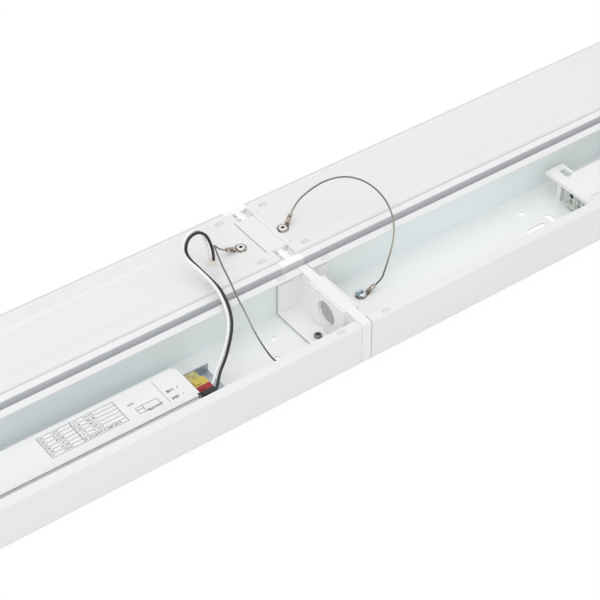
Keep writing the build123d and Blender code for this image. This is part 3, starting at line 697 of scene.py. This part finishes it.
WHITE_LEAD_MM = [
    (-51.72, 38.78, 36.90), (-51.72, 38.78, 45.00), (-52.00, 40.40, 52.00), (-51.60, 43.80, 58.50),
    (-56.80, 43.70, 66.00), (-64.80, 42.30, 67.30), (-70.50, 41.00, 63.30), (-73.38, 38.46, 56.52),
    (-71.90, 33.67, 50.98), (-69.27, 27.84, 47.64), (-67.70, 20.23, 45.20), (-67.25, 10.68, 43.82),
    (-68.08, 1.97, 42.83), (-70.17, -6.44, 41.26), (-72.40, -14.30, 38.40), (-75.60, -21.30, 33.90),
    (-80.40, -26.70, 28.70), (-85.60, -30.70, 23.20), (-91.40, -34.40, 18.20), (-99.50, -39.50, 14.80),
    (-104.50, -44.20, 12.90), (-108.95, -47.50, 11.84),
]
ROPE_SIZE = 0.0013
ROPE_LAY = 0.0075
ROPE_STRANDS = 6
LEAD_SIZE = 0.0022


def route_curve(name, points_mm, thickness=0.0):
    """An open smooth curve with the route's points as its control points."""
    curve = bpy.data.curves.new(name, "CURVE")
    curve.dimensions = "3D"
    curve.resolution_u = 10
    curve.bevel_depth = thickness / 2
    curve.bevel_resolution = 5
    curve.use_fill_caps = thickness > 0
    spline = curve.splines.new("NURBS")
    spline.points.add(len(points_mm) - 1)
    for control, point in zip(spline.points, points_mm):
        control.co = (*(0.001 * v for v in point), 1.0)
    spline.order_u = 3
    spline.use_endpoint_u = True
    return add(name, curve)


def mesh_of(piece):
    """The evaluated piece as a plain mesh."""
    bpy.context.view_layer.update()
    evaluated = piece.evaluated_get(bpy.context.evaluated_depsgraph_get())
    return bpy.data.meshes.new_from_object(evaluated)


class StrandTree(Tree):
    """Geometry Nodes that lay strands round a core, along the curve that carries them."""

    def __init__(self, name):
        super().__init__(bpy.data.node_groups.new(name, "GeometryNodeTree"))
        self.names = {}
        self.socket("Route", "NodeSocketGeometry")
        for label in ("Strand radius", "Laid radius", "Lay length", "Step"):
            self.socket(label, "NodeSocketFloat")
        for label in ("Strands", "Sides"):
            self.socket(label, "NodeSocketInt")
        self.socket("Finish", "NodeSocketMaterial")
        self.tree.interface.new_socket("Rope", in_out="OUTPUT", socket_type="NodeSocketGeometry")
        self.fill()

    def socket(self, label, kind):
        made = self.tree.interface.new_socket(label, in_out="INPUT", socket_type=kind)
        self.names[label] = made.identifier

    def fill(self):
        given = self.node("NodeGroupInput").outputs
        steps = {"Curve": given["Route"], "Length": given["Step"]}
        even = self.node("GeometryNodeResampleCurve", {"mode": "LENGTH"}, steps)
        distance = self.value("GeometryNodeSplineParameter", {}, {}, "Length")
        turn = distance / Value(self, given["Lay length"]) * tau
        untwisted = {"mode": "MINIMUM_TWIST"}
        upright = self.node("GeometryNodeSetCurveNormal", untwisted, {"Curve": even.outputs[0]})
        tilted = {"Curve": upright.outputs[0], "Tilt": turn}
        laid = self.node("GeometryNodeSetCurveTilt", {}, tilted)

        strand = self.ring(given["Sides"], given["Strand radius"])
        round_core = self.ring(given["Strands"], given["Laid radius"])
        placed = {"Points": round_core, "Instance": strand}
        outer = self.node("GeometryNodeInstanceOnPoints", {}, placed)
        outer = self.node("GeometryNodeRealizeInstances", {}, {"Geometry": outer.outputs[0]})
        profile = self.node("GeometryNodeJoinGeometry", {}, {"Geometry": outer.outputs[0]})
        self.put(profile.inputs["Geometry"], strand)

        swept = {"Curve": laid.outputs[0], "Profile Curve": profile.outputs[0], "Fill Caps": True}
        rope = self.node("GeometryNodeCurveToMesh", {}, swept)
        rope = self.node("GeometryNodeSetShadeSmooth", {}, {"Geometry": rope.outputs[0]})
        rope = self.node("GeometryNodeRealizeInstances", {}, {"Geometry": rope.outputs[0]})
        finish = {"Geometry": rope.outputs[0], "Material": given["Finish"]}
        rope = self.node("GeometryNodeSetMaterial", {}, finish)
        self.node("NodeGroupOutput", {}, {0: rope.outputs[0]})

    def ring(self, sides, radius):
        inputs = {"Resolution": sides, "Radius": radius}
        return self.node("GeometryNodeCurvePrimitiveCircle", {"mode": "RADIUS"}, inputs).outputs[0]


def rope_sizes(finish):
    """The strand tree's inputs, for strands that press together in the rope's diameter."""
    squeeze = 1.06
    overlap = 1.02
    steps_per_lay = 14
    strand_sides = 7
    strand = squeeze * ROPE_SIZE / 2 / (1 + 1 / sin(pi / ROPE_STRANDS))
    return {
        "Strand radius": overlap * strand,
        "Laid radius": ROPE_SIZE / 2 - strand,
        "Lay length": ROPE_LAY,
        "Step": ROPE_LAY / steps_per_lay,
        "Strands": ROPE_STRANDS,
        "Sides": strand_sides,
        "Finish": finish.material,
    }


def wire_rope(name, points_mm, strand_tree, finish):
    """The rope along a route as one plain mesh, and the line that it follows."""
    guide = route_curve(name + "_route", points_mm)
    modifier = guide.modifiers.new("strands", "NODES")
    modifier.node_group = strand_tree.tree
    for label, given in rope_sizes(finish).items():
        modifier[strand_tree.names[label]] = given
    mesh = mesh_of(guide)
    mesh.name = name
    guide.modifiers.remove(modifier)
    line_mesh = mesh_of(guide)
    line = [tuple(vertex.co) for vertex in line_mesh.vertices]
    bpy.data.meshes.remove(line_mesh)
    bpy.data.objects.remove(guide)
    return add(name, mesh), line


def declare(piece, node):
    """The piece rides on the body and stands for its node."""
    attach(piece, "root")
    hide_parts(node)


def hang_ropes():
    strand_tree = StrandTree("wire_rope_strands")
    ropes = (("left_safety_rope", LEFT_ROPE_MM, 0.1385), ("right_safety_rope", RIGHT_ROPE_MM, 0.1540))
    for node, points_mm, length in ropes:
        piece, line = wire_rope(node + "_strands", points_mm, strand_tree, finishes["rope_steel"])
        declare(piece, node)


def lay_leads():
    leads = (("left_black_lead", BLACK_LEAD_MM, 0.1720), ("left_white_lead", WHITE_LEAD_MM, 0.1690))
    for node, points_mm, length in leads:
        slot = "lead_" + node.split("_")[1]
        piece = route_curve(node + "_insulation", points_mm, LEAD_SIZE)
        dress(piece, finishes[slot])
        declare(piece, node)


hang_ropes()
lay_leads()
